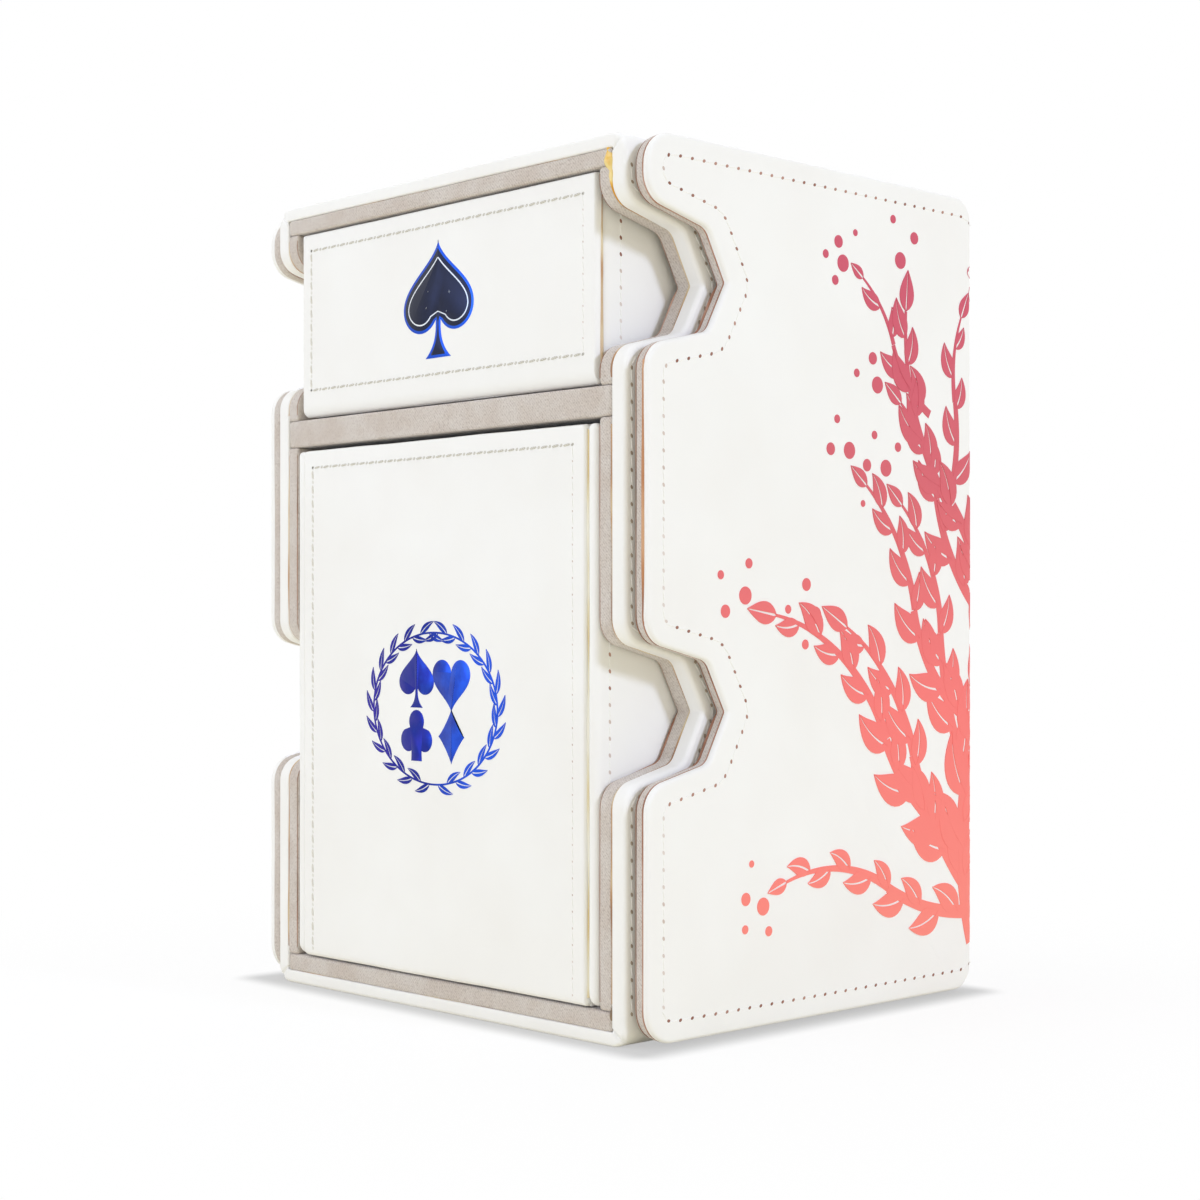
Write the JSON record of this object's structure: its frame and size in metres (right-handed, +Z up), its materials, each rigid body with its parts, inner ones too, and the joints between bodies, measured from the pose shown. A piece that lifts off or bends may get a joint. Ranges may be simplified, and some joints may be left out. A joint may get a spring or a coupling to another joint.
{
  "type": "playing card box",
  "caption": "Leather-wrapped playing card box with a small upper drawer, a tall card tray, gem-shaped finger notches and two hinged side covers.",
  "frame": {"origin": "on the floor under the middle of the closed box: centre of the bounding box, at its lowest face", "axes": "+Z up, -Y out of the front where the drawer and the tray pull out, +X to the viewer's right"},
  "size_m": [0.1034, 0.0864, 0.147],
  "materials": {
    "white_leather": "fine-grained white leatherette, satin",
    "grey_suede": "warm grey microfibre suede, matt",
    "greyboard": "pressed greyboard, raw",
    "magnet_steel": "nickel-plated disc"
  },
  "bodies": {
    "case": {"case_bottom_deck": "white_leather", "case_top_deck": "white_leather", "case_right_wall": "white_leather", "case_left_wall": "white_leather", "case_back_wall": "white_leather", "floor_lining": "grey_suede", "top_lining": "grey_suede", "divider_shelf": "grey_suede", "lower_right_lining": "grey_suede", "lower_left_lining": "grey_suede", "upper_right_lining": "grey_suede", "upper_left_lining": "grey_suede", "lower_back_lining": "grey_suede", "upper_back_lining": "grey_suede", "spine_board": "grey_suede", "spine_leather": "white_leather", "case_magnets": "magnet_steel"},
    "upper_drawer": {"upper_drawer_facing": "white_leather", "upper_drawer_front_board": "white_leather", "upper_drawer_right_wall": "white_leather", "upper_drawer_left_wall": "white_leather", "upper_drawer_back_wall": "white_leather", "upper_drawer_floor": "white_leather", "upper_drawer_mat": "grey_suede"},
    "lower_tray": {"lower_tray_facing": "white_leather", "lower_tray_front_board": "white_leather", "lower_tray_right_wall": "white_leather", "lower_tray_left_wall": "white_leather", "lower_tray_back_wall": "white_leather", "lower_tray_floor": "white_leather", "lower_tray_mat": "grey_suede"},
    "right_cover": {"right_cover_leather": "white_leather", "right_cover_board": "greyboard", "right_cover_lining": "grey_suede", "right_cover_magnets": "magnet_steel", "right_hinge_fold": "white_leather"},
    "left_cover": {"left_cover_leather": "white_leather", "left_cover_board": "greyboard", "left_cover_lining": "grey_suede", "left_cover_magnets": "magnet_steel", "left_hinge_fold": "white_leather"}
  },
  "joints": [
    {"name": "upper_drawer_slide", "type": "slide", "parent": "case", "child": "upper_drawer", "axis": [0, -1, 0], "range_m": [0, 0.07]},
    {"name": "lower_tray_slide", "type": "slide", "parent": "case", "child": "lower_tray", "axis": [0, -1, 0], "range_m": [0, 0.07]},
    {"name": "right_cover_hinge", "type": "hinge", "parent": "case", "child": "right_cover", "pos_m": [0.0505, 0.04205, 0], "axis": [0, 0, 1], "range_deg": [0, 175]},
    {"name": "left_cover_hinge", "type": "hinge", "parent": "case", "child": "left_cover", "pos_m": [-0.0505, 0.04205, 0], "axis": [0, 0, -1], "range_deg": [0, 175]}
  ]
}
